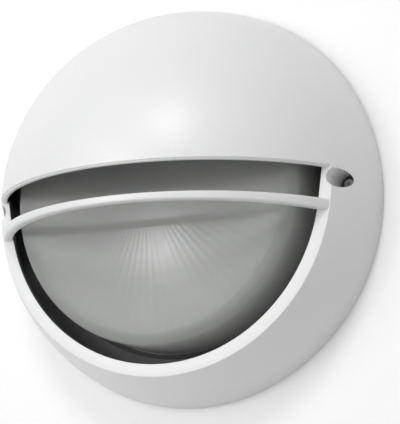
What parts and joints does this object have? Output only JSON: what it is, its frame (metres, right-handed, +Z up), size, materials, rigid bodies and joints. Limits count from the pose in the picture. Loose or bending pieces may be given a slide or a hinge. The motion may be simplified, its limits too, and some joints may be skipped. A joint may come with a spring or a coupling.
{
  "type": "outdoor wall light",
  "caption": "Round domed bulkhead wall light: eyelid cover with a crossbar over a ribbed glass bowl, screwed to a cast base with lampholder, reflector and bulb.",
  "frame": {"origin": "centre of the base's back face, in the plane of the wall", "axes": "+Y into the wall, so the lamp stands out towards -Y; +X to the right seen from the front; +Z up"},
  "size_m": [0.2596, 0.1169, 0.2596],
  "materials": {
    "white_powder_coat": "die-cast aluminium under a satin white powder coat",
    "base_casting": "die-cast aluminium under a thin pale powder coat",
    "ribbed_glass": "pressed glass, satin inside, with fine radial ribs",
    "black_rubber": "moulded EPDM rubber",
    "grey_silicone": "silicone cord",
    "grey_foam": "closed-cell foam ring",
    "white_sheet": "white enamelled sheet",
    "zinc_steel": "zinc-plated steel",
    "stainless_steel": "stainless steel",
    "porcelain": "glazed porcelain",
    "brass": "bare brass",
    "tin": "tinned copper and solder",
    "bulb_aluminium": "thin rolled aluminium",
    "black_glass": "black vitrite",
    "clear_glass": "clear blown glass",
    "tungsten": "coiled tungsten wire",
    "natural_polyamide": "moulded natural polyamide",
    "brown_pvc": "brown wire insulation",
    "blue_pvc": "blue wire insulation",
    "green_yellow_pvc": "green and yellow wire insulation"
  },
  "bodies": {
    "base": {"wall_base": "base_casting", "wall_gasket": "grey_foam", "base_seal": "grey_silicone", "cable_grommet": "black_rubber", "reflector": "white_sheet", "reflector_screws": "zinc_steel", "lampholder_bracket": "zinc_steel", "bracket_screws": "zinc_steel", "lampholder_body": "porcelain", "lampholder_shell": "brass", "lampholder_contact": "brass", "lampholder_screws": "zinc_steel", "terminal_block": "natural_polyamide", "terminal_barrels": "brass", "terminal_screws": "zinc_steel", "terminal_block_screw": "zinc_steel", "earth_lug": "tin", "earth_washer": "zinc_steel", "earth_screw": "zinc_steel", "live_wire": "brown_pvc", "neutral_wire": "blue_pvc", "earth_wire": "green_yellow_pvc"},
    "cover": {"front_cover": "white_powder_coat", "glass_diffuser": "ribbed_glass", "glass_gasket": "black_rubber", "glass_clip_1": "zinc_steel", "glass_clip_2": "zinc_steel", "glass_clip_3": "zinc_steel", "glass_clip_4": "zinc_steel", "clip_screws": "zinc_steel"},
    "left_screw_slide": {"left_screw_washer": "grey_silicone"},
    "left_screw": {"left_cover_screw": "stainless_steel"},
    "right_screw_slide": {"right_screw_washer": "grey_silicone"},
    "right_screw": {"right_cover_screw": "stainless_steel"},
    "bulb_slide": {"bulb_contact": "tin"},
    "bulb": {"bulb_cap": "bulb_aluminium", "bulb_insulator": "black_glass", "bulb_envelope": "clear_glass", "bulb_stem": "clear_glass", "bulb_filament": "tungsten"}
  },
  "joints": [
    {"name": "cover_lift", "type": "slide", "parent": "base", "child": "cover", "axis": [0, -1, 0], "range_m": [0, 0.1]},
    {"name": "left_screw_withdraw", "type": "slide", "parent": "cover", "child": "left_screw_slide", "axis": [0, -1, 0], "range_m": [0, 0.0056]},
    {"name": "left_screw_turn", "type": "hinge", "parent": "left_screw_slide", "child": "left_screw", "pos_m": [-0.116, -0.0223, -0.0016], "axis": [0, -1, 0], "range_deg": [0, 2881]},
    {"name": "right_screw_withdraw", "type": "slide", "parent": "cover", "child": "right_screw_slide", "axis": [0, -1, 0], "range_m": [0, 0.0056]},
    {"name": "right_screw_turn", "type": "hinge", "parent": "right_screw_slide", "child": "right_screw", "pos_m": [0.116, -0.0223, -0.0016], "axis": [0, -1, 0], "range_deg": [0, 2881]},
    {"name": "bulb_withdraw", "type": "slide", "parent": "base", "child": "bulb_slide", "axis": [1, 0, 0], "range_m": [0, 0.02178]},
    {"name": "bulb_turn", "type": "hinge", "parent": "bulb_slide", "child": "bulb", "pos_m": [-0.07165, -0.032, 0], "axis": [1, 0, 0], "range_deg": [0, 2160]}
  ],
  "couplings": [
    {"joint": "left_screw_turn", "follows": "left_screw_withdraw", "rad_per_m": 8976},
    {"joint": "right_screw_turn", "follows": "right_screw_withdraw", "rad_per_m": 8976},
    {"joint": "bulb_withdraw", "follows": "bulb_turn", "m_per_rad": 0.00057757}
  ]
}
